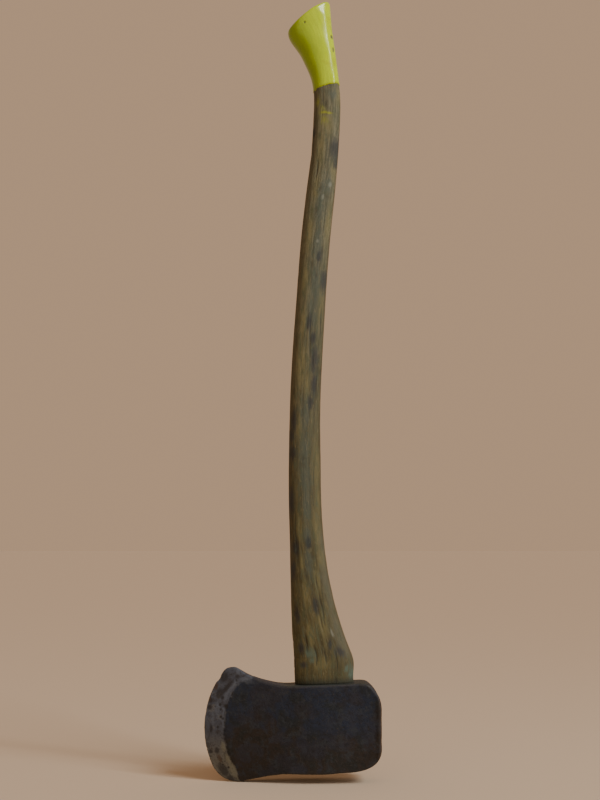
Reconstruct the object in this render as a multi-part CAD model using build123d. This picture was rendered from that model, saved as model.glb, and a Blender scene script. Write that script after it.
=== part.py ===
from build123d import *

# Splitting maul: a forged head with a flared bit, on a curved wooden handle.
#
# The handle's tongue fills the head's eye. A wooden wedge in the tongue's kerf and two
# stepped steel wedges across it spread the tongue against the eye. The knob at the
# other end has a coat of paint.
#
# Millimetres. The origin is the middle of the eye, level with the head's lower face.
# +Z runs along the eye to the knob, -X to the cutting edge, +X to the poll and Y
# across the cheeks.

import math
import os

# Head, from the side
HEAD_LOW = 0.0
HEAD_HIGH = 94.2  # at the bit's end of the upper face
UPPER_RISE = 3.0  # the upper face climbs this much towards the poll
MIDDLE = 48.5  # height of the middle of the cutting edge
POLL_X = 62.6
POLL_FLAT = (28.0, 60.0)
POLL_UPPER_START = (38.0, HEAD_HIGH + UPPER_RISE)
POLL_UPPER_CORNERS = [(50.3, 94.4), (60.2, 81.5)]
POLL_LOWER_CORNER = (56.3, 11.4)
POLL_LOWER_BENDS = [(18.0, 1.4), (43.0, 4.2)]
POLL_LOWER_START = (-6.0, HEAD_LOW)
EDGE_X = -134.0
EDGE_RADIUS = 98.0  # curve of the cutting edge
HEEL_Z = 116.0  # the bit's corner beside the handle, before it is rounded
HEEL_RADIUS = 13.0
TOE_Z = -13.0  # the bit's other corner
TOE_RADIUS = 30.0
NECK_X = -36.0  # the bit flares out from here
HEEL_FLARE = [(-66.0, 98.2), (-88.0, 107.0)]
TOE_FLARE = [(-84.0, -8.0), (-58.0, -2.2)]

# Head, from above: x, half thickness at mid height, half thickness CHEEK_REACH from there
CHEEKS = [
    (POLL_X, 21.0, 21.0),
    (10.0, 21.3, 21.3),
    (-22.0, 20.8, 20.6),
    (-50.0, 17.6, 14.6),
    (-80.0, 12.7, 5.6),
    (-110.0, 7.4, 1.4),
    (-140.0, 3.2, 0.5),
]
CHEEK_REACH = 70.0
BEVEL_WIDTH = 30.0  # a little more than shows, because the cheeks are thinner there
BEVEL_ANGLE = 15.0  # of one side
EDGE_THICKNESS = 1.6
HEAD_FILLET = 2.0

# Eye: height, half length and half width
EYE = [(HEAD_LOW, 32.4, 12.6), (45.0, 30.6, 11.0), (HEAD_HIGH + UPPER_RISE, 31.0, 11.4)]
EYE_GAP = 0.12
SHOULDER_GAP = 0.1
TONGUE_START = 0.5  # the tongue's end lies this far inside the head

# Handle: height, front edge, back edge, thickness
HANDLE = [
    (86.0, -32.8, 32.8, 28.0),
    (98.0, -33.0, 32.9, 29.5),
    (110.0, -33.5, 33.0, 30.5),
    (121.0, -33.9, 33.0, 31.0),
    (131.0, -34.4, 29.6, 31.0),
    (150.0, -36.0, 22.2, 30.5),
    (175.0, -37.0, 14.4, 29.5),
    (205.0, -37.9, 7.0, 28.5),
    (245.0, -38.7, 0.8, 27.5),
    (295.0, -40.0, -3.0, 26.5),
    (350.0, -40.1, -3.6, 26.0),
    (410.0, -39.0, -3.5, 25.5),
    (470.0, -36.0, -0.8, 25.0),
    (535.0, -31.5, 3.0, 25.0),
    (605.0, -26.3, 8.4, 25.0),
    (670.0, -19.0, 15.2, 24.5),
    (715.0, -13.5, 18.8, 24.5),
    (755.0, -11.0, 21.0, 24.5),
    (785.0, -10.4, 21.0, 25.0),
    (806.0, -13.6, 18.7, 27.0),
    (824.0, -20.9, 16.5, 29.5),
    (840.0, -29.0, 14.7, 32.0),
    (852.0, -37.6, 13.0, 33.5),
    (866.0, -40.8, 11.2, 34.5),
    (885.0, -41.2, 9.7, 35.0),
    (912.0, -41.8, 8.0, 35.0),
]
OVAL_POWER = 2.3  # 2 is an ellipse, and more has flatter sides
OVAL_POINTS = 16
KNOB_END = (-14.0, 886.6)  # a point on the knob's domed end face
KNOB_END_TILT = 37.0
KNOB_END_RADIUS = 300.0
KNOB_REACH = 90.0  # the knob's end face is cut within this height
KNOB_FILLET = 2.8

# Coat of paint on the knob
COAT = 0.6
COAT_EDGE_Z = 790.6
COAT_EDGE_TILT = 16.2

# Wedges
KERF_DEPTH = 66.0
KERF_MOUTH = 8.0
KERF_ROOT = 1.4
WOOD_WEDGE_DEPTH = 58.0  # it stops short of the kerf's root
WEDGE_GAP = 0.08
STEEL_WIDTH = 19.0
STEEL_LENGTH = 36.0
STEEL_THICK = 5.6
STEEL_TIP = 1.2
STEEL_STEPS = 4
STEEL_BARB = 0.5  # each step stands out this far
STEEL_WEDGES = {"steel_wedge_front": (-13.5, 11.0), "steel_wedge_back": (14.5, -8.0)}

FAR = 400.0  # beyond anything on the head


def level(z, x=0.0):
    """A plane across the eye's axis."""
    return Plane(origin=(x, 0, z), x_dir=(1, 0, 0), z_dir=(0, 0, 1))


def oval(half_length, half_width, plane):
    """A face between an ellipse and a rectangle."""
    points = []
    for i in range(OVAL_POINTS):
        angle = 2 * math.pi * i / OVAL_POINTS
        c, s = math.cos(angle), math.sin(angle)
        x = math.copysign(abs(c) ** (2 / OVAL_POWER), c) * half_length
        y = math.copysign(abs(s) ** (2 / OVAL_POWER), s) * half_width
        points.append((x, y))
    return plane * make_face(Spline(*points, periodic=True))


def eye_filling(gap, low, high):
    """What the eye holds, less a gap all round, from low to high."""
    (_, a0, b0), (_, a1, b1) = EYE[0], EYE[-1]
    rows = [(HEAD_LOW - 20, a0, b0), *EYE[:-1], (HEAD_HIGH + 20, a1, b1)]
    filling = loft([oval(a - gap, b - gap, level(z)) for z, a, b in rows])
    return filling & Pos(0, 0, (low + high) / 2) * Box(FAR, FAR, high - low)


def on_edge(z):
    """The point of the cutting edge at a height."""
    centre = EDGE_X + EDGE_RADIUS
    return (centre - math.sqrt(EDGE_RADIUS**2 - (z - MIDDLE) ** 2), z)


def side_outline():
    """The head from the side."""
    heel, toe = on_edge(HEEL_Z), on_edge(TOE_Z)
    neck_high, neck_low = (NECK_X, HEAD_HIGH), (NECK_X, HEAD_LOW)
    poll_low, poll_high = [(POLL_X, z) for z in POLL_FLAT]
    upper_face = (NECK_X - POLL_UPPER_START[0], -UPPER_RISE)
    lines = [
        Line(poll_low, poll_high),
        Spline(
            poll_high,
            *reversed(POLL_UPPER_CORNERS),
            POLL_UPPER_START,
            tangents=[(0, 1), upper_face],
        ),
        Line(POLL_UPPER_START, neck_high),
        Spline(neck_high, *HEEL_FLARE, heel, tangents=[upper_face, (-0.9, 0.2)]),
        ThreePointArc(heel, (EDGE_X, MIDDLE), toe),
        Spline(toe, *TOE_FLARE, neck_low, tangents=[(1, 0.05), (1, 0)]),
        Line(neck_low, POLL_LOWER_START),
        Spline(
            POLL_LOWER_START,
            *POLL_LOWER_BENDS,
            POLL_LOWER_CORNER,
            poll_low,
            tangents=[(1, 0), (0, 1)],
        ),
    ]
    face = make_face(lines)
    for place, radius in ((heel, HEEL_RADIUS), (toe, TOE_RADIUS)):
        corner = face.vertices().sort_by_distance((*place, 0))[0]
        face = fillet(corner, radius)
    return face


def head_block(grow=0.0):
    """The side outline, grown by a gap and extruded across."""
    face = side_outline()
    if grow:
        face = offset(face, grow)
    return extrude(Plane.XZ * face, FAR / 4, both=True)


def cheek_section(x, middle, far):
    """A section across the head, fuller at mid height than above and below."""
    low, high = MIDDLE - CHEEK_REACH, MIDDLE + CHEEK_REACH
    middle = max(middle, far + 0.02)  # an arc needs a little bulge
    lines = [
        Line((-far, low), (far, low)),
        ThreePointArc((far, low), (middle, MIDDLE), (far, high)),
        Line((far, high), (-far, high)),
        ThreePointArc((-far, high), (-middle, MIDDLE), (-far, low)),
    ]
    return Plane(origin=(x, 0, 0), x_dir=(0, 1, 0), z_dir=(1, 0, 0)) * make_face(lines)


def between_bevels():
    """The room between the ground bevels: a double cone about the edge's centre."""
    inner = EDGE_RADIUS - BEVEL_WIDTH
    edge = EDGE_THICKNESS / 2
    back = edge + BEVEL_WIDTH * math.tan(math.radians(BEVEL_ANGLE))
    half = [(inner, -FAR), (inner, -back), (EDGE_RADIUS, -edge)]
    other_half = [(x, -y) for x, y in reversed(half)]
    outline = Polyline((0, -FAR), *half, *other_half, (0, FAR), close=True)
    centre = EDGE_X + EDGE_RADIUS
    blade = Pos(centre, 0, MIDDLE) * revolve(make_face(outline), Axis.Y)
    behind = Pos(centre + FAR / 2, 0, MIDDLE) * Box(FAR, FAR, FAR)
    return blade + behind


def maul_head():
    """The forged head with its eye."""
    body = head_block() & loft([cheek_section(*row) for row in CHEEKS])
    outer = body.edges().filter_by(lambda e: abs(e.center().Y) > 12)
    rounded = outer.filter_by(lambda e: e.center().X > NECK_X - 20)
    body = fillet(rounded, HEAD_FILLET) & between_bevels()
    return body - eye_filling(0.0, HEAD_LOW - 10, HEAD_HIGH + 10)


def handle_loft(grow):
    """The handle from inside the head to past the knob, grown by a coat."""
    faces = []
    for z, front, back, thick in HANDLE:
        middle = (back + front) / 2
        half = (back - front) / 2
        faces.append(oval(half + grow, thick / 2 + grow, level(z, middle)))
    return loft(faces)


def handle_blank(grow=0.0):
    """The handle's outside, with the knob's end face cut and its rim rounded."""
    x, z = KNOB_END
    tilt = math.radians(KNOB_END_TILT)
    ball_x = x + KNOB_END_RADIUS * math.sin(tilt)
    ball_z = z - KNOB_END_RADIUS * math.cos(tilt)
    ball = Pos(ball_x, 0, ball_z) * Sphere(KNOB_END_RADIUS + grow)
    end = Pos(0, 0, z) * Box(FAR, FAR, KNOB_REACH) - ball
    shape = handle_loft(grow) - end
    rim = shape.edges().filter_by(lambda e: e.center().Z > z - KNOB_REACH / 2)
    return fillet(rim, KNOB_FILLET + grow)


def kerf(gap=0.0):
    """The sawn slot for the wooden wedge."""
    mouth, root = KERF_MOUTH / 2 - gap, KERF_ROOT / 2 - gap
    corners = [(-mouth, 0), (mouth, 0), (root, KERF_DEPTH), (-root, KERF_DEPTH)]
    return extrude(Plane.YZ * make_face(Polyline(*corners, close=True)), FAR / 4, both=True)


def steel_wedge(x, turn, gap=0.0, mouth=0.0):
    """A stepped steel wedge across the kerf, or with a gap and a mouth, its socket."""
    step = STEEL_LENGTH / STEEL_STEPS
    side = [(STEEL_THICK / 2 + gap, -mouth)]
    for i in range(STEEL_STEPS):
        z = i * step
        half = STEEL_THICK / 2 + (STEEL_TIP - STEEL_THICK) / 2 * z / STEEL_LENGTH
        side.append((half + gap, z + 0.01))
        side.append((half - STEEL_BARB + gap, z + step / 8))
    side.append((STEEL_TIP / 2 + gap, STEEL_LENGTH + gap))
    outline = side + [(-a, z) for a, z in reversed(side)]
    face = make_face(Polyline(*outline, close=True))
    blade = extrude(Plane.XZ * face, STEEL_WIDTH / 2 + gap, both=True)
    return Pos(x, 0, TONGUE_START) * Rot(0, 0, turn) * blade


def steel_sockets():
    """The cuts that the steel wedges make in the wood."""
    return [steel_wedge(x, turn, WEDGE_GAP, mouth=2.0) for x, turn in STEEL_WEDGES.values()]


def handle():
    """The handle with its tongue, kerf and the steel wedges' cuts."""
    above_head = handle_blank() - head_block(SHOULDER_GAP)
    above_head = above_head.solids().sort_by(SortBy.VOLUME)[-1]
    tongue = eye_filling(EYE_GAP, TONGUE_START, HEAD_HIGH + UPPER_RISE + 4)
    return above_head + tongue - kerf() - steel_sockets()


def wood_wedge():
    """The wooden wedge, cut through by the two steel ones."""
    room = eye_filling(EYE_GAP, TONGUE_START, WOOD_WEDGE_DEPTH)
    return (room & kerf(WEDGE_GAP)) - steel_sockets()


def knob_coat():
    """The paint on the knob, down to a slanting edge."""
    uncoated = Pos(0, 0, -FAR) * Box(3 * FAR, FAR, 2 * FAR)
    uncoated = Pos(0, 0, COAT_EDGE_Z) * Rot(0, -COAT_EDGE_TILT, 0) * uncoated
    return handle_blank(COAT) - handle_blank() - uncoated


if __name__ == "__main__":
    os.makedirs("parts", exist_ok=True)
    parts = {
        "maul_head": maul_head(),
        "handle": handle(),
        "wood_wedge": wood_wedge(),
        "knob_coat": knob_coat(),
    }
    for name, (x, turn) in STEEL_WEDGES.items():
        parts[name] = steel_wedge(x, turn)
    for name, shape in parts.items():
        export_step(shape, f"parts/{name}.step")
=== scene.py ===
import itertools
import math

import bmesh
import bpy
import numpy as np
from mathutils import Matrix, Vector
from mathutils.bvhtree import BVHTree


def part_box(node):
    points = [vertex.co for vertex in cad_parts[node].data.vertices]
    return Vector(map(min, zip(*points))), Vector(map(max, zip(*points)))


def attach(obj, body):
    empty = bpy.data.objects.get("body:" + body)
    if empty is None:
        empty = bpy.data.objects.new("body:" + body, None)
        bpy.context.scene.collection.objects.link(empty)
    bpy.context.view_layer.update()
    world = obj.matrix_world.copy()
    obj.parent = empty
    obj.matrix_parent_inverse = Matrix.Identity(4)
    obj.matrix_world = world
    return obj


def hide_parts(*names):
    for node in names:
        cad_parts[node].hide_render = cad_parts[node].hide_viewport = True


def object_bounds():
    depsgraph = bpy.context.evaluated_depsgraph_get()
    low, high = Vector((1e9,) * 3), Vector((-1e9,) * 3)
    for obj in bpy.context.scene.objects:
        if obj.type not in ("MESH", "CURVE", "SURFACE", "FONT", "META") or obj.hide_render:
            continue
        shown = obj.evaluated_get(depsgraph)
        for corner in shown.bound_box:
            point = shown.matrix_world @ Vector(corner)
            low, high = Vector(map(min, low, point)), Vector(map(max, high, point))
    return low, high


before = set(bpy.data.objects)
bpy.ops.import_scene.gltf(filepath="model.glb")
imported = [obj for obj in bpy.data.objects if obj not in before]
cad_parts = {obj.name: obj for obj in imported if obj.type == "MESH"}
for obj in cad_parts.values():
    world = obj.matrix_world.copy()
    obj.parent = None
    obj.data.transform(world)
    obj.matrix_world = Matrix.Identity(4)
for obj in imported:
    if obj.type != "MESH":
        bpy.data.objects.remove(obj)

# A splitting maul: a forged head on a weathered handle with a painted knob.
# Shapes are worked out in millimetres, as number arrays, and turned into metres once.

CAD_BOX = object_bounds()
MM = 0.001

# Head
EDGE_RADIUS = 98.0
EDGE_CENTRE_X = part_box("maul_head")[0].x / MM + EDGE_RADIUS
EDGE_CENTRE_Z = 48.5
BEVEL_INNER = 75.3  # from the edge's centre to where the grinding stops
POLL_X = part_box("maul_head")[1].x / MM
HEAD_VOXEL = 0.87
HAMMERED = 0.35  # how far the forged faces wave in and out
GROUND_AWAY = 0.3
POLL_WEAR = 0.55

# Handle
SEAT_Z = 95.9  # the shoulder sits on the head here, on the eye's axis
SEAT_TILT = math.atan2(3.0, 77.0)
TONGUE_CUT = 83.5  # the tongue is a mesh of its own below this
LEVEL_UNTIL = 775.0  # sections tilt towards the knob's end face from here
KNOB_TILT = math.radians(37.0)
KNOB_MIDDLE = (-16.5, 885.3)
AROUND = 132
ROW_STEP = 1.2
TONGUE_ROWS = 4  # the first rows, in the eye, which are not smoothed along the handle

# Coat of paint
PAINT = 0.55
PAINT_EDGE_Z = 790.6
PAINT_EDGE_SLOPE = 0.29
PAINT_BEAD = 0.22  # how much thicker the paint is along its edge
PAINT_SINK = 0.6  # how far the inner layer is under the wood
COAT_ROWS = 104
COAT_SEARCH_ROW = 300  # the paint's edge is well above this row of the handle


# ---------------------------------------------------------------- noise and masks


def hashed(cells, seed):
    """A random number from 0 to 1 for each whole-number cell."""
    c = cells.astype(np.int64).astype(np.uint64)
    h = c[..., 0] * np.uint64(73856093)
    h ^= c[..., 1] * np.uint64(19349663)
    h ^= c[..., 2] * np.uint64(83492791)
    h += np.uint64(seed * 2654435761)
    for factor in (2246822519, 3266489917, 668265263):
        h = (h ^ (h >> np.uint64(15))) * np.uint64(factor)
        h &= np.uint64(0xFFFFFFFF)
    return (h & np.uint64(0xFFFFFF)) / float(0x1000000)


def noise(p, size, seed):
    """Smooth noise from -1 to 1 at points p, with features of that size."""
    p = p / np.asarray(size) + 57.3
    cell = np.floor(p)
    f = p - cell
    f = f * f * (3 - 2 * f)
    total = np.zeros(p.shape[:-1])
    for corner in itertools.product((0, 1), repeat=3):
        weight = np.prod(np.where(corner, f, 1 - f), axis=-1)
        total += weight * hashed(cell + corner, seed)
    return 2 * total - 1


def layered(p, size, seed, layers=4):
    """Noise in several sizes, each half the last."""
    size = np.asarray(size, dtype=float)
    return sum(noise(p, size / 2**k, seed + 7 * k) / 2**k for k in range(layers)) / 1.6


def spots(p, size, seed, share):
    """Scattered round spots in a share of the cells: 1 in a spot's middle, 0 outside."""
    p = p / size + 91.7
    cell = np.floor(p)
    best = np.zeros(p.shape[:-1])
    for corner in itertools.product((-1, 0, 1), repeat=3):
        c = cell + corner
        centre = c + np.stack([hashed(c, seed + k) for k in range(3)], -1)
        radius = 0.22 + 0.4 * hashed(c, seed + 3)
        near = 1 - np.linalg.norm(p - centre, axis=-1) / radius
        best = np.maximum(best, np.where(hashed(c, seed + 4) < share, near, 0))
    return np.clip(best, 0, 1)


def step(x, low, high):
    """0 at low, 1 at high, and smooth between."""
    t = np.clip((x - low) / (high - low), 0, 1)
    return t * t * (3 - 2 * t)


def patches(u, v, places, width=1.0):
    """A field that is 1 in the middle of each place, 0.5 at its reach and fades outside.

    A place is its middle (u, v), its reach each way and a turn, and v is in widths.
    """
    best = np.zeros(u.shape)
    for u0, v0, reach_u, reach_v, turn in places:
        c, s = math.cos(math.radians(turn)), math.sin(math.radians(turn))
        off_u, off_v = u - u0, (v - v0) * width
        a = (off_u * c + off_v * s) / reach_u
        b = (off_v * c - off_u * s) / reach_v
        best = np.maximum(best, np.exp(-0.7 * (a * a + b * b)))
    return best


# ---------------------------------------------------------------- mesh helpers


def positions(mesh):
    """A mesh's points in millimetres."""
    flat = np.empty(3 * len(mesh.vertices))
    mesh.vertices.foreach_get("co", flat)
    return flat.reshape(-1, 3) / MM


def set_positions(mesh, p):
    mesh.vertices.foreach_set("co", (p * MM).ravel())
    mesh.update()


def normals(mesh):
    flat = np.empty(3 * len(mesh.vertices))
    mesh.vertex_normals.foreach_get("vector", flat)
    return flat.reshape(-1, 3)


def bulge(mesh, p, n, rounds=2):
    """How far each point stands out from its neighbours, in millimetres."""
    edges = np.empty(2 * len(mesh.edges), dtype=np.int32)
    mesh.edges.foreach_get("vertices", edges)
    a, b = edges.reshape(-1, 2).T
    count = np.bincount(np.concatenate((a, b)), minlength=len(p))[:, None]

    def neighbours(values):
        total = np.zeros_like(values)
        np.add.at(total, a, values[b])
        np.add.at(total, b, values[a])
        return total / np.maximum(count, 1)

    around = p
    for _ in range(rounds):
        around = neighbours(around)
    return np.sum((p - around) * n, axis=1)


def store(mesh, name, values):
    """Keeps a number or a vector for each point, for the material to read."""
    vector = values.ndim == 2
    layer = mesh.attributes.new(name, "FLOAT_VECTOR" if vector else "FLOAT", "POINT")
    layer.data.foreach_set("vector" if vector else "value", values.astype(np.float32).ravel())


def finished(piece, node, material):
    """Shades a piece, puts it on the maul's body and lets it stand for its node."""
    piece.data.materials.clear()
    piece.data.materials.append(material)
    piece.data.shade_smooth()
    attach(piece, "root")
    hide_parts(node)
    return piece


def from_grid(name, grid, start=None, end=None):
    """A mesh on rows of points that go round, closed by a point at either end."""
    rows, around = grid.shape[:2]
    index = np.arange(rows * around).reshape(rows, around)
    across = np.roll(index, -1, axis=1)
    faces = np.stack((index[:-1], across[:-1], across[1:], index[1:]), -1).reshape(-1, 4).tolist()
    points = list(grid.reshape(-1, 3))
    for point, row, flip in ((start, 0, True), (end, rows - 1, False)):
        if point is None:
            continue
        tip = len(points)
        points.append(point)
        for i, j in zip(index[row], across[row]):
            faces.append([j, i, tip] if flip else [i, j, tip])
    mesh = bpy.data.meshes.new(name)
    mesh.from_pydata([tuple(q) for q in np.array(points) * MM], [], faces)
    mesh.update()
    piece = bpy.data.objects.new(name, mesh)
    bpy.context.scene.collection.objects.link(piece)
    return piece


def remeshed(node, name, voxel, smoothing, below=None):
    """A new, evenly meshed piece in a CAD node's shape, or in its part below a height."""
    work = bmesh.new()
    work.from_mesh(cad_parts[node].data)
    bmesh.ops.remove_doubles(work, verts=work.verts, dist=1e-6)
    if below is not None:
        every = work.verts[:] + work.edges[:] + work.faces[:]
        cut = bmesh.ops.bisect_plane(
            work, geom=every, plane_co=(0, 0, below * MM), plane_no=(0, 0, 1), clear_outer=True
        )
        rim = [e for e in cut["geom_cut"] if isinstance(e, bmesh.types.BMEdge)]
        bmesh.ops.triangle_fill(work, use_beauty=True, edges=rim)
    mesh = bpy.data.meshes.new(name)
    work.to_mesh(mesh)
    work.free()
    piece = bpy.data.objects.new(name, mesh)
    bpy.context.scene.collection.objects.link(piece)
    remesh = piece.modifiers.new("even", "REMESH")
    remesh.mode = "VOXEL"
    remesh.voxel_size = voxel * MM
    smooth = piece.modifiers.new("smooth", "SMOOTH")
    smooth.factor = 0.5
    smooth.iterations = smoothing
    shaped = piece.evaluated_get(bpy.context.evaluated_depsgraph_get())
    piece.data = bpy.data.meshes.new_from_object(shaped)
    piece.modifiers.clear()
    return piece


# ---------------------------------------------------------------- material helpers


class Shader:
    """A material that is being built: each call adds a node and gives its output."""

    def __init__(self, name):
        self.material = bpy.data.materials.new(name)
        self.material.use_nodes = True
        self.tree = self.material.node_tree
        self.surface = self.tree.nodes["Principled BSDF"]

    def feed(self, socket, value):
        if isinstance(value, bpy.types.NodeSocket):
            self.tree.links.new(value, socket)
        elif socket.type == "RGBA":
            socket.default_value = (*value, 1.0)
        else:
            socket.default_value = value

    def add(self, kind, inputs, **settings):
        node = self.tree.nodes.new("ShaderNode" + kind)
        for name, value in settings.items():
            setattr(node, name, value)
        for key, value in inputs.items():
            self.feed(node.inputs[key], value)
        return node

    def attribute(self, name):
        return self.add("Attribute", {}, attribute_name=name).outputs["Fac"]

    def attribute_vector(self, name):
        return self.add("Attribute", {}, attribute_name=name).outputs["Vector"]

    def object_place(self):
        return self.add("TexCoord", {}).outputs["Object"]

    def scaled(self, vector, *factors):
        node = self.add("VectorMath", {0: vector, 1: factors}, operation="MULTIPLY")
        return node.outputs["Vector"]

    def noise(self, vector, scale=1.0, detail=5.0, roughness=0.55, distortion=0.0):
        inputs = {"Vector": vector, "Scale": scale, "Detail": detail}
        inputs.update({"Roughness": roughness, "Distortion": distortion})
        return self.add("TexNoise", inputs).outputs["Fac"]

    def math(self, operation, a, b=0.0, c=0.0):
        return self.add("Math", {0: a, 1: b, 2: c}, operation=operation).outputs["Value"]

    def between(self, value, low, high, to_low=0.0, to_high=1.0):
        inputs = {"Value": value, "From Min": low, "From Max": high}
        inputs.update({"To Min": to_low, "To Max": to_high})
        node = self.add("MapRange", inputs, interpolation_type="SMOOTHSTEP")
        return node.outputs["Result"]

    def ragged(self, name, jitter, strength=1.0, soft=0.3, amount=2.0):
        """A patch's field with a ragged edge: jitter is noise, soft the edge's width."""
        shift = self.math("MULTIPLY_ADD", jitter, amount, -0.5 * amount)
        value = self.math("ADD", self.attribute(name), shift)
        return self.between(value, 0.5 - soft, 0.5 + soft, 0.0, strength)

    def mix(self, factor, a, b, blend="MIX"):
        node = self.add("Mix", {0: factor, 6: a, 7: b}, data_type="RGBA", blend_type=blend)
        return node.outputs[2]

    def bump(self, height, distance, below=None, strength=1.0):
        inputs = {"Height": height, "Distance": distance * MM, "Strength": strength}
        if below is not None:
            inputs["Normal"] = below
        return self.add("Bump", inputs).outputs["Normal"]

    def finish(self, **inputs):
        for name, value in inputs.items():
            self.feed(self.surface.inputs[name.replace("_", " ")], value)
        return self.material


# ---------------------------------------------------------------- forged head

# Patches on the cheek that the camera sees: x, z, reach along and up, turn
PALE_PATCHES = [
    (-86, 99, 7, 3, -20),
    (-97, 108, 2.5, 5, 15),
    (-103, 93, 2.5, 9, -35),
    (-110, 82, 2.5, 6, -20),
    (-119, 68, 3, 8, -8),
    (-124, 58, 2, 7, 0),
    (-112, 60, 2, 10, 0),
]
TAN_PATCHES = [
    (-101, 3, 3.5, 8, 12),
    (-107, 15, 3, 6, 25),
    (-112, 27, 2.5, 6, 10),
    (-94, -5, 4, 2, 0),
]
DARK_PATCHES = [
    (-119, 23, 2.6, 3, 0),
    (-112, 2, 4.5, 9, 35),
    (-104, -7, 5, 3, -20),
    (-127, 77, 3, 3, 0),
    (-109, 91, 2.6, 13, -42),
    (-126, 46, 1.6, 5, 0),
    (-117, 85, 3.5, 6, -15),
    (-112, 102, 6, 5, 45),
]
RUST_PATCHES = [(-121, 92, 2, 4, -20), (-128, 79, 1.5, 4, 0), (-116, 14, 2, 5, 30)]


def shape_head():
    """Forging scale, pits, worn corners and ground, chipped bevels on an even mesh."""
    piece = remeshed("maul_head", "forged_head", HEAD_VOXEL, 3)
    mesh = piece.data
    p, n = positions(mesh), normals(mesh)
    x, y, z = p.T
    across, up = x - EDGE_CENTRE_X, z - EDGE_CENTRE_Z
    r, angle = np.hypot(across, up), np.arctan2(up, -across)
    # the ground band is narrower at the toe and wider at the heel
    inner = BEVEL_INNER + 7 * step(-angle, 0.55, 0.85) - 6 * step(angle, 0.68, 0.85)
    inner = inner + 1.1 * noise(p, 11, 3) + 0.5 * noise(p, 3.5, 4)
    bevel = step(r, inner - 0.5, inner + 0.5) * (across < 0)
    scale = layered(p, 10, 11)
    pits = spots(p, 6.0, 21, 0.3)
    fine_pits = spots(p, 2.8, 31, 0.35)
    bevel_pits = spots(p, 7.0, 41, 0.35) * bevel
    shift = HAMMERED * noise(p, 42, 1) + (0.16 + 0.05 * scale) * scale * (1 - 0.7 * bevel)
    shift -= 0.34 * pits * (1 - bevel) + 0.16 * fine_pits + 0.4 * bevel_pits**0.7
    shift -= GROUND_AWAY * bevel
    # dents and a lip of spread metal at the poll
    near_poll = step(x, POLL_X - 13, POLL_X - 3)
    shift -= POLL_WEAR * spots(p, 12, 51, 0.5) * near_poll
    lip = step(x, POLL_X - 7, POLL_X - 2.5) * step(n[:, 0], 0.8, 0.4)
    shift += POLL_WEAR * lip * (1 + noise(p, 9, 61))
    # the eye's mouths stay close to the handle
    eye_mouth = step(np.hypot(x / 34, y / 14), 1.25, 1.0) * (abs(n[:, 2]) > 0.5)
    shift *= 1 - 0.8 * eye_mouth
    p = p + n * shift[:, None]
    # chips out of the edge, and an edge that is a little rolled
    along = np.stack((angle * EDGE_RADIUS, 0 * x, 0 * x), -1)
    chip = 0.7 * step(noise(along, 4.5, 71), 0.3, 0.95) + 1.5 * step(noise(along, 15, 72), 0.45, 0.95)
    inward = chip * step(r, EDGE_RADIUS - 7, EDGE_RADIUS) * (across < 0)
    p[:, 0] -= inward * across / np.maximum(r, 1)
    p[:, 2] -= inward * up / np.maximum(r, 1)
    p[:, 1] += 0.35 * noise(along, 9, 73) * step(r, EDGE_RADIUS - 4, EDGE_RADIUS) * (across < 0)
    set_positions(mesh, p)

    n = normals(mesh)
    stands_out = bulge(mesh, p, n, 3)
    seen = step(y, 1.0, -1.0)
    far = np.clip(0.9 * spots(p, 15, 91, 0.4), 0, 1) * (1 - seen)
    # painted reflection of the warm floor: brown along the poll's rounded rim and along the bottom rim,
    # put into one mask with the rust patches
    poll_rim = step(x, POLL_X - 6, POLL_X - 2) * step(abs(n[:, 0] - 0.55), 0.5, 0.2)
    low_rim = step(z, 5, 1) * step(x, 0, 30)
    masks = {
        "bevel": np.clip(0.5 + (r - inner) / 5, 0, 1) * (across < 0),
        "worn": step(stands_out, 0.03, 0.16),
        "hollow": step(-stands_out, 0.01, 0.12),
        "pale": patches(x, z, PALE_PATCHES) * seen + far * (noise(p, 40, 92) > 0.1),
        "tan": patches(x, z, TAN_PATCHES) * seen + far * (noise(p, 40, 92) < -0.1),
        "dark": np.maximum(patches(x, z, DARK_PATCHES) * seen, 1.2 * bevel_pits),
        "rust_and_rim_reflection": np.clip(patches(x, z, RUST_PATCHES) + 0.8 * poll_rim + 0.6 * low_rim, 0, 1),
        "dust": 0.9 * step(n[:, 2], 0.3, 0.9) * step(abs(x), 60, 38),
    }
    for name, values in masks.items():
        store(mesh, name, values)
    return piece


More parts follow.
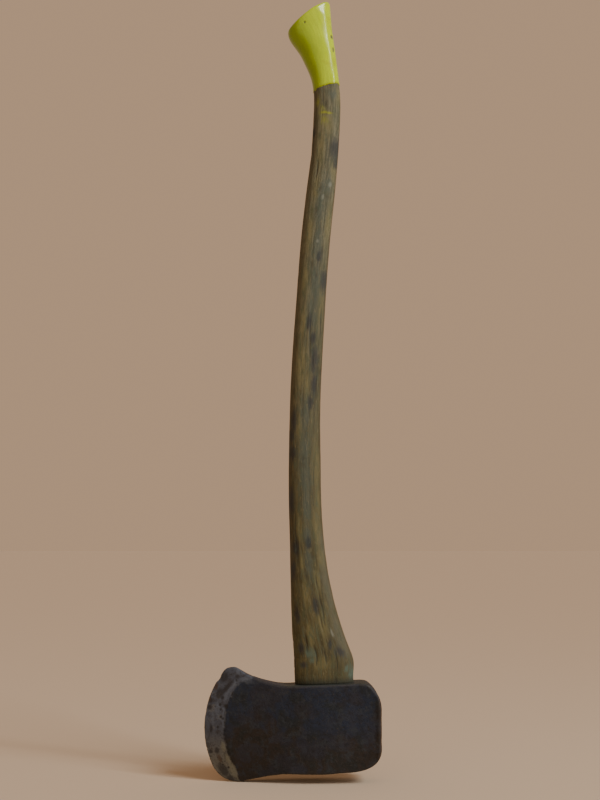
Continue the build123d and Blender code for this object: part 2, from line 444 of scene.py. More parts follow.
def forged_steel():
    """Black forging scale with brown rust, and worn grey bevels with dark pits; painted reflection makes
    them bluish towards the top, warm towards the bottom and brown along the rims.
    """
    s = Shader("forged_steel")
    place = s.object_place()
    broad = s.noise(place, 28.0, 3.0)
    other = s.noise(place, 47.0, 4.0, 0.6, 0.3)
    middle = s.noise(place, 120.0, 6.0, 0.65)
    small = s.noise(place, 360.0, 5.0, 0.65)
    fine = s.noise(place, 1100.0, 4.0, 0.7)
    height = s.add("SeparateXYZ", {0: place}).outputs["Z"]
    # painted reflection: the scale turns bluish towards the top and brown towards the bottom, over a
    # broad random tone
    brown_and_reflection = s.math("ADD", s.between(broad, 0.42, 0.6), s.between(height, 0.085, 0.02, -0.6, 0.6))
    scale = s.mix(brown_and_reflection, (0.0085, 0.0145, 0.031), (0.017, 0.0115, 0.0085))
    scale = s.mix(s.between(other, 0.5, 0.64, 0.0, 0.7), scale, (0.0075, 0.01, 0.0095))
    scale = s.mix(s.between(other, 0.48, 0.38, 0.0, 0.6), scale, (0.019, 0.0205, 0.031))
    scale = s.mix(s.between(middle, 0.5, 0.64, 0.0, 0.7), scale, (0.022, 0.025, 0.03))
    scale = s.mix(s.between(middle, 0.46, 0.36, 0.0, 0.5), scale, (0.007, 0.0075, 0.009))
    scale = s.mix(s.between(small, 0.55, 0.7, 0.0, 0.6), scale, (0.032, 0.026, 0.022))
    scale = s.mix(s.between(small, 0.44, 0.3, 0.0, 0.7), scale, (0.005, 0.005, 0.005))
    scale = s.mix(s.between(fine, 0.6, 0.8, 0.0, 0.5), scale, (0.05, 0.042, 0.036))
    scale = s.mix(s.math("MULTIPLY", s.attribute("worn"), 0.4), scale, (0.04, 0.033, 0.028))
    # grinding marks run across the bevel, towards the edge's centre
    centre = (EDGE_CENTRE_X * MM, 0.0, EDGE_CENTRE_Z * MM)
    from_centre = s.add("VectorMath", {0: place, 1: centre}, operation="SUBTRACT").outputs[0]
    parts = s.add("SeparateXYZ", {0: from_centre}).outputs
    turn = s.math("ARCTAN2", parts["Z"], s.math("MULTIPLY", parts["X"], -1.0))
    stretched = {0: s.math("MULTIPLY", turn, 240.0), 1: s.math("MULTIPLY", height, 12.0)}
    marks = s.noise(s.add("CombineXYZ", stretched).outputs[0], 1.0, 6.0, 0.7)
    # painted reflection on the ground bevel: lighter and warm towards the bottom, bluish and darker
    # towards the top
    ground = s.mix(s.between(height, 0.005, 0.05), (0.13, 0.125, 0.105), (0.064, 0.072, 0.094))
    ground = s.mix(s.between(middle, 0.5, 0.66, 0.0, 0.6), ground, (0.14, 0.135, 0.125))
    ground = s.mix(s.between(middle, 0.46, 0.34, 0.0, 0.6), ground, (0.036, 0.032, 0.032))
    ground = s.mix(s.between(marks, 0.52, 0.7, 0.0, 0.45), ground, (0.16, 0.15, 0.14))
    ground = s.mix(s.between(small, 0.45, 0.32, 0.0, 0.7), ground, (0.026, 0.022, 0.02))
    jitter = s.math("MULTIPLY_ADD", small, 0.5, s.math("MULTIPLY", middle, 0.5))
    pale = s.ragged("pale", jitter, 0.6, 0.35)
    tan = s.ragged("tan", jitter, 0.55, 0.45)
    dark = s.ragged("dark", jitter, 0.8, 0.3)
    bevel = s.ragged("bevel", jitter, 1.0, 0.2, 1.4)
    ground = s.mix(pale, ground, (0.105, 0.12, 0.15))
    ground = s.mix(tan, ground, (0.185, 0.18, 0.125))
    colour = s.mix(bevel, s.mix(s.math("MULTIPLY", pale, 0.6), scale, (0.08, 0.088, 0.1)), ground)
    colour = s.mix(s.math("MULTIPLY", s.attribute("hollow"), 0.5), colour, (0.008, 0.007, 0.007))
    colour = s.mix(dark, colour, (0.016, 0.013, 0.013))
    # rust patches, plus brown painted reflection of the floor along the poll's rim and the bottom rim
    colour = s.mix(s.ragged("rust_and_rim_reflection", jitter, 0.65, 0.3), colour, (0.062, 0.034, 0.017))
    colour = s.mix(s.ragged("dust", jitter, 0.55, 0.4), colour, (0.034, 0.038, 0.028))
    metallic = s.math("MULTIPLY", s.math("SUBTRACT", bevel, dark), 0.4)
    rough = s.between(middle, 0.3, 0.7, 0.5, 0.72)
    bumped = s.bump(fine, 0.25, strength=0.7)
    bumped = s.bump(small, 0.6, bumped, 0.6)
    bumped = s.bump(s.math("MULTIPLY", marks, bevel), 0.3, bumped, 0.5)
    return s.finish(
        Base_Color=colour, Metallic=metallic, Roughness=rough, Normal=bumped, Specular_IOR_Level=0.32
    )


# ---------------------------------------------------------------- handle


def cad_tree(node):
    """A CAD node's surface, for casting rays in metres."""
    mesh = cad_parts[node].data
    return BVHTree.FromPolygons([v.co for v in mesh.vertices], [f.vertices for f in mesh.polygons])


def cast(tree, start, direction):
    """Where a ray meets the surface, all in millimetres."""
    hit = tree.ray_cast(Vector(start) * MM, Vector(direction))[0]
    return np.array(hit) / MM


def bezier(ends, handles, t):
    (p0, p3), (p1, p2) = ends, handles
    u = 1 - t
    return u**3 * p0 + 3 * u * u * t * p1 + 3 * u * t * t * p2 + t**3 * p3


def handle_path(tree):
    """The middle of each section across the handle, (x, z), and the section's tilt."""
    levels = np.arange(98.0, LEVEL_UNTIL + 1, 7.0)
    middles = []
    for z in levels:
        front = cast(tree, (-200, 0, z), (1, 0, 0))[0]
        back = cast(tree, (200, 0, z), (-1, 0, 0))[0]
        middles.append((front + back) / 2)
    low_z = np.array([TONGUE_CUT - 1.5, 88.0, 92.0])
    low = np.stack((0 * low_z, low_z, 0 * low_z), -1)
    seat_z = np.arange(SEAT_Z + 0.2, LEVEL_UNTIL, ROW_STEP)
    seat_x = np.interp(seat_z, levels, middles)
    seat = np.stack((seat_x, seat_z, SEAT_TILT * step(seat_z, 128.0, 98.0)), -1)
    normal = np.array((-math.sin(KNOB_TILT), math.cos(KNOB_TILT)))
    middle = np.array(KNOB_MIDDLE)
    inside = middle - 30 * normal
    face = cast(tree, (inside[0], 0, inside[1]), (normal[0], 0, normal[1]))[[0, 2]]
    start = seat[-1, :2] + (0, ROW_STEP)
    ends = (start[:, None], face[:, None])
    handles = ((start + (0, 45))[:, None], (face - 42 * normal)[:, None])
    t = np.linspace(0, 1, 400)
    curve = bezier(ends, handles, t).T
    length = np.concatenate(([0], np.cumsum(np.linalg.norm(np.diff(curve, axis=0), axis=1))))
    last_rows = 9.2 * np.linspace(1, 0, 24, endpoint=False) ** 2.1
    along = np.concatenate((np.arange(0, length[-1] - 10.2, ROW_STEP), length[-1] - last_rows))
    knob_x, knob_z = (np.interp(along, length, curve[:, k]) for k in (0, 1))
    tilt = KNOB_TILT * step(along, 5.0, length[-1] - 9.5)
    knob = np.stack((knob_x, knob_z, tilt), -1)
    return np.concatenate((low, seat, knob)), face, len(last_rows)


def cast_sections(tree, path):
    """Rows of points round the handle, evenly spaced, starting at its back."""
    rays = 2 * AROUND
    theta = np.arange(rays) * 2 * math.pi / rays
    rows = []
    for x, z, tilt in path:
        back = np.array((math.cos(tilt), 0, math.sin(tilt)))
        centre = np.array((x, 0, z))
        reach_x = np.linalg.norm(cast(tree, centre, back) - centre)
        reach_y = np.linalg.norm(cast(tree, centre, (0, 1, 0)) - centre)
        ring = []
        for t in theta:
            ray = back * math.cos(t) * reach_x + np.array((0, math.sin(t) * reach_y, 0))
            ring.append(cast(tree, centre, ray))
        ring = np.array(ring + ring[:1])
        length = np.concatenate(([0], np.cumsum(np.linalg.norm(np.diff(ring, axis=0), axis=1))))
        even = np.linspace(0, length[-1], AROUND, endpoint=False)
        rows.append(np.stack([np.interp(even, length, ring[:, k]) for k in range(3)], -1))
    return np.array(rows)


def softened(rows, first, last, rounds):
    """Smooths the rows along the handle between first and last, and all of them round it."""
    rows = rows.copy()
    for _ in range(rounds):
        inner = rows[first:last]
        rows[first + 1 : last - 1] = 0.25 * inner[:-2] + 0.5 * inner[1:-1] + 0.25 * inner[2:]
    for _ in range(2):
        rows = 0.25 * np.roll(rows, 1, axis=1) + 0.5 * rows + 0.25 * np.roll(rows, -1, axis=1)
    return rows


def grid_normals(rows):
    round_it = np.roll(rows, -1, axis=1) - np.roll(rows, 1, axis=1)
    n = np.cross(round_it, np.gradient(rows, axis=0))
    return n / np.maximum(np.linalg.norm(n, axis=-1, keepdims=True), 1e-9)


class HandleGrid:
    """The handle's smooth surface as rows of points, with where each point is on it."""

    def __init__(self):
        tree = cad_tree("handle")
        path, self.end, cap_rows = handle_path(tree)
        rows = cast_sections(tree, path)
        self.rows = softened(rows, TONGUE_ROWS, len(rows) - cap_rows, 8)
        self.normals = grid_normals(self.rows)
        self.normals[-1] = (-math.sin(KNOB_TILT), 0, math.cos(KNOB_TILT))
        centre = np.stack((path[:, 0], 0 * path[:, 0], path[:, 1]), -1)[:, None]
        back = np.stack((np.cos(path[:, 2]), 0 * path[:, 2], np.sin(path[:, 2])), -1)[:, None]
        off = np.sum((self.rows - centre) * back, axis=-1)
        steps = np.linalg.norm(np.diff(path[:, :2], axis=0), axis=1)
        run = np.concatenate(([0], np.cumsum(steps))) + path[0, 1]
        self.run = np.broadcast_to(run[:, None], off.shape)
        self.off = off
        self.half = np.abs(off).max(axis=1, keepdims=True)
        self.across = off / self.half
        self.girth = np.linalg.norm(self.rows - np.roll(self.rows, 1, axis=1), axis=-1)
        self.round = np.cumsum(self.girth, axis=1)
        self.whole = self.round[:, -1:]
        self.fibre = np.stack((off, self.rows[..., 1], self.run), -1)


def cracks(grid, count, seed, reach, width, depth, low, high):
    """Drying cracks along the grain, as how deep the wood opens at each point."""
    random = np.random.default_rng(seed)
    opened = np.zeros(grid.run.shape)
    fraction = grid.round / grid.whole
    for _ in range(count):
        at, middle = random.random(), random.uniform(low, high)
        half = random.uniform(*reach) / 2
        wide, deep = random.uniform(*width), random.uniform(*depth)
        sway = random.uniform(-1, 1, 3)
        t = (grid.run - middle) / half
        line = at + (0.7 * sway[0] * t + 0.5 * np.sin(3 * t + 3 * sway[1])) / grid.whole
        away = np.abs((fraction - line + 0.5) % 1 - 0.5) * grid.whole
        shape = np.exp(-((away / wide) ** 2)) * np.clip(1 - t * t, 0, 1)
        opened = np.maximum(opened, deep * shape)
    return opened


# Stains on the side that the camera sees: height, place across from front (-1) to back
# (1), reach up and across, turn
FILM = [
    (648, 0.1, 30, 4.5, 0),
    (598, 0.15, 22, 5, 0),
    (552, 0.2, 26, 5, 0),
    (518, 0.1, 20, 5.5, 0),
    (400, 0.0, 22, 5, 0),
    (356, 0.0, 24, 6, 0),
    (326, 0.05, 20, 6, 0),
    (296, 0.1, 22, 5, 0),
    (262, 0.05, 12, 4, 0),
    (232, 0.0, 20, 4, 0),
    (672, 0.5, 10, 4, 0),
    (783, 0.45, 5, 4, 0),
]
DARK_STAINS = [
    (717, 0.8, 13, 7, 0),
    (738, -0.95, 6, 3, 0),
    (700, 0.85, 8, 3, 0),
    (584, 0.35, 7, 3, 0),
    (556, 0.8, 12, 3.5, 0),
    (487, 0.3, 7, 3.5, 0),
    (462, 0.45, 16, 4, 0),
    (434, 0.52, 12, 3, 0),
    (412, 0.35, 9, 3, 0),
    (505, 0.0, 10, 3, 0),
    (392, -0.72, 14, 3, 0),
    (354, -0.78, 9, 4, 0),
    (375, -0.85, 8, 3, 0),
    (300, -0.85, 14, 3, 0),
    (247, -0.68, 8, 4, 0),
    (252, 0.1, 7, 3, 0),
    (222, -0.85, 12, 3, 0),
    (183, 0.1, 9, 3.5, 0),
    (172, -0.75, 8, 3, 0),
    (131, 0.6, 5, 5, 20),
    (117, -0.68, 3, 3, 0),
    (135, -0.72, 6, 3, 0),
    (140, 0.35, 6, 2, 15),
]
TAN_STAINS = [
    (782, 0.8, 12, 4, 0),
    (745, 0.1, 14, 6, 0),
    (715, -0.32, 22, 4.5, 0),
    (690, 0.75, 14, 3, 0),
    (668, -0.3, 14, 4, 0),
    (625, 0.75, 22, 3, 0),
    (612, -0.45, 22, 4, 0),
    (556, -0.5, 18, 3, 0),
    (525, 0.7, 18, 3, 0),
    (505, -0.4, 18, 4, 0),
    (455, -0.38, 24, 5, 0),
    (430, 0.05, 16, 3, 0),
    (385, -0.35, 12, 3, 0),
    (340, 0.72, 26, 3.5, 0),
    (300, 0.78, 16, 3, 0),
    (266, 0.65, 20, 4, 0),
    (268, -0.4, 12, 3, 0),
    (236, 0.75, 12, 4, 0),
    (230, -0.35, 10, 2, 0),
    (210, 0.35, 14, 3, 0),
    (196, -0.3, 14, 3, 0),
    (162, 0.25, 14, 5, 0),
    (150, -0.3, 12, 4, 0),
    (118, -0.1, 7, 8, 0),
]
GREY_STAINS = [(205, 0.85, 30, 5, 0), (150, 0.85, 26, 7, 0), (250, 0.9, 16, 3, 0), (668, 0.1, 8, 5, 0)]
TEAL_SPOTS = [(129, -0.44, 5, 4.5, 0), (122, -0.4, 3, 3, 0), (106, 0.93, 8, 3.5, 0), (112, 0.75, 4, 2, 0)]
PALE_FLECKS = [
    (152, 0.55, 5, 1.2, -4),
    (603, 0.15, 2, 1.5, 0),
    (672, 0.6, 3, 2, 0),
    (657, 0.2, 3, 1.5, 0),
]
PAINT_SMEARS = [(761, -0.25, 1.5, 4.5, 3), (760, 0.15, 1.2, 3.5, 3)]
PAINT_TINTS = [(764, -0.4, 8, 4.5, 0), (752, -0.2, 8, 5, 0), (775, -0.7, 7, 2.5, 0)]


def shape_handle(grid):
    """Raised grain, drying cracks, dents and scars over the smooth surface."""
    f = grid.fibre
    wave = 0.3 * noise(f, (30, 30, 70), 201)
    grain = 0.11 * noise(f, (2.4, 2.4, 60), 202) + 0.08 * noise(f, (1.3, 1.3, 30), 203)
    opened = cracks(grid, 90, 5, (18, 90), (0.5, 0.8), (0.2, 0.6), 100, 780)
    shoulder = cracks(grid, 22, 6, (20, 55), (0.55, 0.85), (0.35, 0.9), 85, 180)
    opened = np.maximum(opened, shoulder)
    dents = spots(f, 16.0, 221, 0.28)
    nicks = spots(f / (1, 1, 2.5), 6.0, 231, 0.12)
    low_front = step(f[..., 2], 185, 120) * step(grid.across, -0.6, -0.9)
    scars = spots(f / (1, 1, 0.45), 7.0, 241, 0.5) * low_front
    depth = 0.4 * dents**1.2 + 0.45 * nicks + 0.8 * scars
    seat = step(np.arange(len(f)), 2, 6)[:, None]
    shift = (wave + grain - opened - depth) * seat
    worn_foot = 0.15 * step(grid.run, SEAT_Z + 2.0, SEAT_Z) * (grid.run > SEAT_Z)
    end = step(np.arange(len(f)), len(f) - 3, len(f) - 12)[:, None]
    shift = (shift - worn_foot) * end
    points = grid.rows + grid.normals * shift[..., None]
    tip = np.array((grid.end[0], 0, grid.end[1]))
    start = np.array((0, 0, TONGUE_CUT - 1.5))
    piece = from_grid("handle_wood", points, start, tip)

    seen = step(f[..., 1], 3.0, -3.0)
    height, across = grid.run, grid.across

    def stain(places, elsewhere):
        return patches(height, across, places, grid.half) * seen + elsewhere * (1 - seen)

    def far_side(seed, low, high):
        return np.clip((noise(f, (11, 11, 46), seed) - low) / (high - low), 0, 1)

    masks = {
        "film": stain(FILM, far_side(261, 0.0, 0.9) * step(abs(across), 0.8, 0.5)),
        "dark": stain(DARK_STAINS, far_side(262, 0.2, 1.0)),
        "tan": stain(TAN_STAINS, far_side(263, -0.1, 0.8)),
        "grey": stain(GREY_STAINS, far_side(264, 0.1, 0.9)),
        "teal": stain(TEAL_SPOTS, 0),
        "pale": stain(PALE_FLECKS, 0.9 * spots(f, 22, 271, 0.07)),
        "paint": np.maximum(stain(PAINT_SMEARS, 0), 0.5 * stain(PAINT_TINTS, 0)),
        "crack": step(opened, 0.1, 0.55),
        "dent": step(depth, 0.05, 0.4),
        "across": across,
        "run": height,
    }
    for name, values in masks.items():
        ends = [values[0].mean(), values[-1].mean()]
        store(piece.data, name, np.concatenate((values.ravel(), ends)))
    ends = np.array([start, (0, 0, f[-1, 0, 2])])
    store(piece.data, "fibre", np.concatenate((f.reshape(-1, 3), ends)))
    return piece


def weathered_wood():
    """Old hickory: grey-brown with dark grain, dirt, stains and a darker front edge that is partly
    painted shade, with painted shade low on the back and a dark band at the foot that is partly painted
    shade.
    """
    s = Shader("weathered_hickory")
    fibre = s.attribute_vector("fibre")
    run, across = s.attribute("run"), s.attribute("across")
    streak = s.noise(s.scaled(fibre, 0.45, 0.45, 0.035), 1.0, 5.0, 0.65, 0.6)
    grain = s.noise(s.scaled(fibre, 1.5, 1.5, 0.09), 1.0, 6.0, 0.65)
    pores = s.noise(s.scaled(fibre, 4.5, 4.5, 0.3), 1.0, 3.0, 0.7)
    mottle = s.noise(s.scaled(fibre, 0.36, 0.36, 0.12), 1.0, 6.0, 0.7, 0.4)
    green = s.noise(s.scaled(fibre, 0.22, 0.22, 0.055), 1.0, 4.0, 0.65)
    jitter = s.math("MULTIPLY_ADD", grain, 0.5, s.math("MULTIPLY", mottle, 0.5))
    low = s.mix(s.between(streak, 0.36, 0.64), (0.05, 0.042, 0.015), (0.1, 0.082, 0.031))
    high = s.mix(s.between(streak, 0.36, 0.64), (0.084, 0.08, 0.047), (0.172, 0.162, 0.096))
    wood = s.mix(s.between(run, 200.0, 700.0), low, high)
    wood = s.mix(s.ragged("tan", jitter, 0.62, 0.5, 2.6), wood, (0.195, 0.168, 0.066))
    wood = s.mix(s.ragged("grey", jitter, 0.55, 0.5, 2.6), wood, (0.14, 0.137, 0.098))
    wood = s.mix(s.between(green, 0.47, 0.64, 0.0, 0.6), wood, (0.068, 0.078, 0.036))
    wood = s.mix(s.ragged("film", jitter, 0.68, 0.5, 2.6), wood, (0.076, 0.094, 0.074))
    wood = s.mix(s.between(mottle, 0.53, 0.68, 0.0, 0.55), wood, (0.05, 0.043, 0.022))
    wood = s.mix(s.between(mottle, 0.46, 0.33, 0.0, 0.4), wood, (0.2, 0.185, 0.1))
    wood = s.mix(s.between(grain, 0.54, 0.68, 0.0, 0.6), wood, (0.036, 0.027, 0.013))
    wood = s.mix(s.between(grain, 0.44, 0.3, 0.0, 0.4), wood, (0.25, 0.225, 0.13))
    wood = s.mix(s.between(pores, 0.58, 0.75, 0.0, 0.5), wood, (0.026, 0.019, 0.01))
    # darker front edge: partly the wood's own colour, partly painted shade on the side away from the
    # light
    front = s.between(across, -0.55, -1.0, 0.0, 0.55)
    front = s.math("MULTIPLY", front, s.between(streak, 0.3, 0.6, 0.5, 1.0))
    front = s.math("MULTIPLY", front, s.between(run, 110.0, 300.0))
    wood = s.mix(front, wood, (0.06, 0.034, 0.014))
    wood = s.mix(s.between(across, 0.85, 1.0, 0.0, 0.35), wood, (0.1, 0.052, 0.02))
    # painted shade: the back side is darker below about 600 mm
    back = s.math("MULTIPLY", s.between(across, 0.1, 0.9, 0.0, 0.28), s.between(run, 640.0, 540.0))
    wood = s.mix(back, wood, (0.055, 0.046, 0.02))
    wood = s.mix(s.ragged("dark", jitter, 0.8, 0.42, 2.2), wood, (0.026, 0.026, 0.029))
    wood = s.mix(s.math("MULTIPLY", s.attribute("dent"), 0.4), wood, (0.038, 0.03, 0.018))
    wood = s.mix(s.math("MULTIPLY", s.attribute("crack"), 0.8), wood, (0.016, 0.012, 0.007))
    wood = s.mix(s.ragged("teal", jitter, 0.6, 0.6, 3.4), wood, (0.09, 0.16, 0.13))
    wood = s.mix(s.ragged("pale", jitter, 0.5, 0.35, 1.8), wood, (0.24, 0.25, 0.2))
    wood = s.mix(s.ragged("paint", jitter, 0.75, 0.4, 2.0), wood, (0.3, 0.32, 0.012))
    # dark band just above the head: partly dirt, partly painted shade where the handle meets the head
    wood = s.mix(s.between(run, SEAT_Z + 9.0, SEAT_Z, 0.0, 0.8), wood, (0.026, 0.03, 0.021))
    rough = s.between(grain, 0.3, 0.7, 0.6, 0.82)
    bumped = s.bump(grain, 0.5, strength=0.6)
    bumped = s.bump(pores, 0.25, bumped, 0.6)
    return s.finish(Base_Color=wood, Roughness=rough, Normal=bumped, Specular_IOR_Level=0.35)


# ---------------------------------------------------------------- coat of paint


# Chips on the side that the camera sees: x, z, reach along and up, turn
KNOB_CHIPS = [(10.5, 854, 1.5, 2.2, 0), (12.4, 837.5, 0.9, 3.2, 0), (-21.5, 869, 1.2, 1.2, 0)]


def shape_coat(grid):
    """Brushed-on paint over the knob, thick at its ragged lower edge, with chips."""
    points, normal = grid.rows, grid.normals
    rows, around = points.shape[:2]
    lower = PAINT_EDGE_Z + PAINT_EDGE_SLOPE * points[..., 0]
    circle = 2 * math.pi * np.arange(around) / around
    ring = np.stack((np.cos(circle), np.sin(circle), 0 * circle), -1)
    uneven = 0.9 * noise(ring, 0.35, 301) + 0.5 * noise(ring, 0.13, 302)
    uneven -= 5.0 * step(noise(ring, 0.2, 303), 0.55, 0.95)
    above = points[..., 2] - lower - uneven
    upper = np.arange(COAT_SEARCH_ROW, rows)
    start = np.array([np.interp(0, above[upper, j], upper) for j in range(around)])
    at = start[None] + (rows - 1 - start[None]) * (np.arange(COAT_ROWS) / (COAT_ROWS - 1))[:, None]
    low_row = np.clip(np.floor(at).astype(int), 0, rows - 2)
    part = (at - low_row)[..., None]
    column = np.broadcast_to(np.arange(around), at.shape)

    def sampled(values):
        return values[low_row, column] * (1 - part) + values[low_row + 1, column] * part

    base, n, f = sampled(points), sampled(normal), sampled(grid.fibre)
    from_edge = (at - start[None]) * ROW_STEP
    thick = PAINT * step(from_edge, -0.3, 1.3) + PAINT_BEAD * np.exp(-((from_edge - 1.3) ** 2))
    brush = 0.03 * noise(f, (2.2, 2.2, 26), 311) + 0.07 * noise(f, (12, 12, 22), 312)
    seen = step(f[..., 1], 5.0, -2.0)
    across = sampled(grid.across[..., None])[..., 0]
    far_chips = spots(f, 17.0, 321, 0.2) * step(from_edge, 4, 10) * (1 - seen)
    named = patches(base[..., 0], base[..., 2] + 0.6 * noise(f, 2.2, 331), KNOB_CHIPS) * seen
    chip = np.maximum(step(far_chips, 0.3, 0.42), step(named, 0.4, 0.6))
    outer_shift = (thick + brush * step(from_edge, 0, 3)) * (1 - chip) - 0.25 * chip
    outer = base + n * outer_shift[..., None]
    inner = base - n * PAINT_SINK
    middle = np.array((grid.end[0], 0, grid.end[1]))
    inner_tip = middle - PAINT_SINK * normal[-1, 0]
    outer_tip = middle + PAINT * normal[-1, 0]
    piece = from_grid("knob_paint", np.concatenate((inner[::-1], outer)), inner_tip, outer_tip)

    # in the mesh's order: the inner layer's rows, the outer layer's rows and the two tips
    for name, values in {"fibre": f, "chip": chip, "across": across, "from_edge": from_edge}.items():
        tip = values[-1].mean(axis=0, keepdims=True)
        layers = np.concatenate((values[::-1], values)).reshape(-1, *tip.shape[1:])
        store(piece.data, name, np.concatenate((layers, tip, tip)))
    return piece


def yellow_enamel():
    """Glossy yellow paint, thin and grubby in places, with dark chips and painted shade down its front
    side.
    """
    s = Shader("yellow_enamel")
    fibre = s.attribute_vector("fibre")
    place = s.object_place()
    streak = s.noise(s.scaled(fibre, 0.5, 0.5, 0.05), 1.0, 4.0, 0.6)
    blotch = s.noise(place, 55.0, 4.0, 0.6)
    specks = s.noise(place, 900.0, 3.0, 0.6)
    paint = s.mix(s.between(streak, 0.35, 0.65), (0.45, 0.61, 0.0), (0.53, 0.7, 0.0))
    paint = s.mix(s.between(blotch, 0.52, 0.7, 0.0, 0.4), paint, (0.36, 0.38, 0.004))
    # painted shade: the paint turns darker olive down its front side
    paint = s.mix(s.between(s.attribute("across"), 0.0, -0.95, 0.0, 0.72), paint, (0.13, 0.22, 0.003))
    paint = s.mix(s.between(specks, 0.68, 0.76, 0.0, 0.5), paint, (0.09, 0.08, 0.02))
    paint = s.mix(s.between(s.attribute("from_edge"), 5.0, 0.0, 0.0, 0.35), paint, (0.24, 0.24, 0.01))
    paint = s.mix(s.attribute("chip"), paint, (0.07, 0.07, 0.02))
    rough = s.between(blotch, 0.3, 0.7, 0.16, 0.26)
    brush = s.noise(s.scaled(fibre, 1.3, 1.3, 0.07), 1.0, 3.0, 0.5)
    bumped = s.bump(brush, 0.25, strength=0.12)
    return s.finish(
        Base_Color=paint,
        Roughness=rough,
        Normal=bumped,
        Specular_IOR_Level=0.4,
        Coat_Weight=0.2,
        Coat_Roughness=0.08,
    )


# ---------------------------------------------------------------- tongue and wedges


def shape_end(node, name, voxel, seed, below=None, rough=0.12):
    """A piece in the eye, with an uneven surface."""
    piece = remeshed(node, name, voxel, 2, below)
    p, n = positions(piece.data), normals(piece.data)
    shift = rough * layered(p, 5, seed) + 0.6 * rough * noise(p, 1.6, seed + 1)
    at_mouth = step(p[:, 2], 3.0, 0.0)
    shift *= 0.35 + 0.65 * at_mouth
    set_positions(piece.data, p + n * shift[:, None])
    store(piece.data, "fibre", p)
    return piece


RING_TURN = 3.2  # radians per millimetre, so the year rings are about 2 mm apart


def end_wood(name, light, dark):
    """The end grain in the eye: rings, pores, rays and dirt."""
    s = Shader(name)
    fibre = s.attribute_vector("fibre")
    bent = s.noise(s.scaled(fibre, 0.06, 0.06, 0.02), 1.0, 3.0)
    across = s.math("MULTIPLY", s.add("SeparateXYZ", {0: fibre}).outputs["Y"], RING_TURN)
    row = s.math("ADD", across, s.math("MULTIPLY", bent, 22.0))
    rings = s.math("MULTIPLY", s.math("ADD", s.math("SINE", row), 1.0), 0.5)
    pores = s.noise(s.scaled(fibre, 4.5, 4.5, 0.25), 1.0, 4.0, 0.7)
    dirt = s.noise(s.scaled(fibre, 0.25, 0.25, 0.1), 1.0, 5.0)
    wood = s.mix(s.between(rings, 0.1, 0.9), dark, light)
    wood = s.mix(s.between(pores, 0.5, 0.7, 0.0, 0.8), wood, tuple(0.3 * c for c in dark))
    wood = s.mix(s.between(dirt, 0.42, 0.65, 0.0, 0.7), wood, (0.03, 0.024, 0.016))
    bumped = s.bump(pores, 0.4, strength=0.6)
    return s.finish(Base_Color=wood, Roughness=0.8, Normal=bumped)


def rusty_steel():
    """Mild steel wedges with a brown skin of rust and hammered bright spots."""
    s = Shader("rusty_steel")
    place = s.object_place()
    broad = s.noise(place, 160.0, 5.0, 0.6)
    fine = s.noise(place, 1400.0, 4.0, 0.7)
    steel = s.mix(s.between(broad, 0.42, 0.6), (0.13, 0.12, 0.11), (0.085, 0.04, 0.02))
    steel = s.mix(s.between(fine, 0.5, 0.7, 0.0, 0.6), steel, (0.03, 0.018, 0.012))
    metallic = s.between(broad, 0.55, 0.42, 0.1, 0.8)
    rough = s.between(fine, 0.3, 0.7, 0.45, 0.75)
    bumped = s.bump(fine, 0.2, strength=0.6)
    return s.finish(Base_Color=steel, Metallic=metallic, Roughness=rough, Normal=bumped)


# ---------------------------------------------------------------- the maul

grid = HandleGrid()
wood = weathered_wood()
finished(shape_head(), "maul_head", forged_steel())
finished(shape_handle(grid), "handle", wood)
finished(shape_coat(grid), "knob_coat", yellow_enamel())
tongue_wood = end_wood("tongue_end_grain", (0.17, 0.115, 0.06), (0.09, 0.055, 0.028))
wedge_wood = end_wood("wedge_end_grain", (0.25, 0.175, 0.095), (0.15, 0.095, 0.048))
finished(shape_end("handle", "handle_tongue", 0.62, 401, TONGUE_CUT), "handle", tongue_wood)
finished(shape_end("wood_wedge", "driven_wood_wedge", 0.5, 411), "wood_wedge", wedge_wood)
steel = rusty_steel()
for k, node in enumerate(("steel_wedge_front", "steel_wedge_back")):
    finished(shape_end(node, "driven_" + node, 0.3, 421 + k, None, 0.08), node, steel)

# ---------------------------------------------------------------- floor, light and camera

FLOOR_HALF = 60.0
FLOOR_COLOUR = (0.555, 0.44, 0.325)
SKY_COLOUR = (0.475, 0.312, 0.196)  # as bright as the floor in the sun, so they meet softly

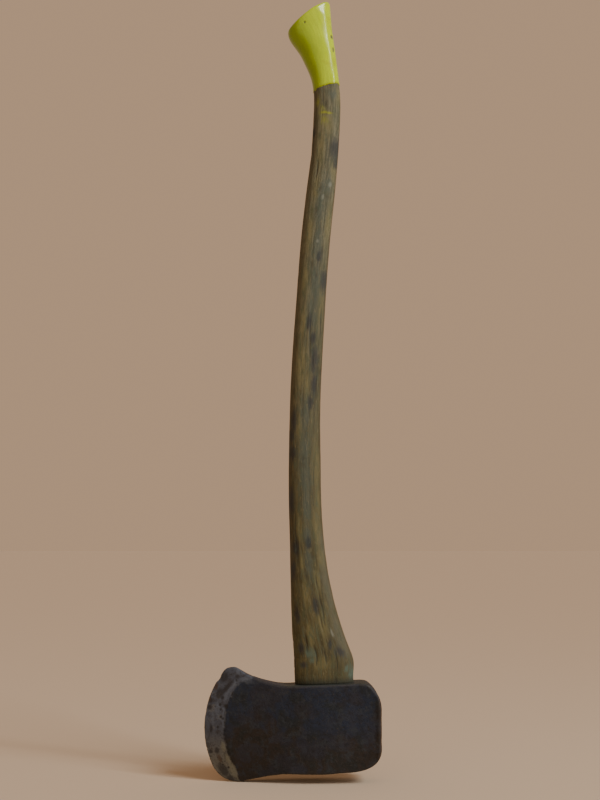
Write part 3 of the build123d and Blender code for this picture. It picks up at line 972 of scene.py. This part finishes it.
floor_z = CAD_BOX[0].z - 0.0002
floor_mesh = bpy.data.meshes.new("floor")
corners = itertools.product((-FLOOR_HALF, FLOOR_HALF), repeat=2)
floor_mesh.from_pydata([(x, y, floor_z) for x, y in corners], [], [(0, 2, 3, 1)])
floor = bpy.data.objects.new("floor", floor_mesh)
bpy.context.scene.collection.objects.link(floor)
paper = Shader("pale_floor")
matt = paper.finish(Base_Color=FLOOR_COLOUR, Roughness=0.95, Specular_IOR_Level=0.1)
floor_mesh.materials.append(matt)

world = bpy.data.worlds.new("studio")
world.use_nodes = True
world.node_tree.nodes["Background"].inputs["Color"].default_value = (*SKY_COLOUR, 1)
bpy.context.scene.world = world


def light(kind, name, place, aim, power, colour, **settings):
    """A light at a place, turned to face another."""
    data = bpy.data.lights.new(name, kind)
    data.energy = power
    data.color = colour
    for key, value in settings.items():
        setattr(data, key, value)
    lamp = bpy.data.objects.new(name, data)
    lamp.location = place
    lamp.rotation_euler = (Vector(aim) - Vector(place)).to_track_quat("-Z", "Y").to_euler()
    bpy.context.scene.collection.objects.link(lamp)


MIDDLE = (0, 0, 0.42)
UPPER_HANDLE = (0, 0, 0.7)
light("SUN", "daylight", (1.5, -1.15, 2.2), MIDDLE, 1.95, (0.96, 0.99, 1.0), angle=0.4)
wide = {"shape": "RECTANGLE", "size": 4.5, "size_y": 2.6}
narrow = {"shape": "RECTANGLE", "size": 0.1, "size_y": 1.7}
light("AREA", "front_fill", (-0.7, -3.2, 2.3), MIDDLE, 13, (0.74, 0.91, 1), **wide)
light("AREA", "right_panel", (1.2, -0.72, 1.0), UPPER_HANDLE, 8, (0.95, 1, 1), **narrow)

CAMERA_PLACE = (-0.02718, -1.27496, 0.24733)
CAMERA_UPWARD = 7.5  # degrees above level

camera_data = bpy.data.cameras.new("camera")
camera_data.lens = 50
camera_data.sensor_width = 36
camera = bpy.data.objects.new("camera", camera_data)
camera.location = CAMERA_PLACE
camera.rotation_euler = (math.radians(90 + CAMERA_UPWARD), 0, 0)
bpy.context.scene.collection.objects.link(camera)
bpy.context.scene.camera = camera
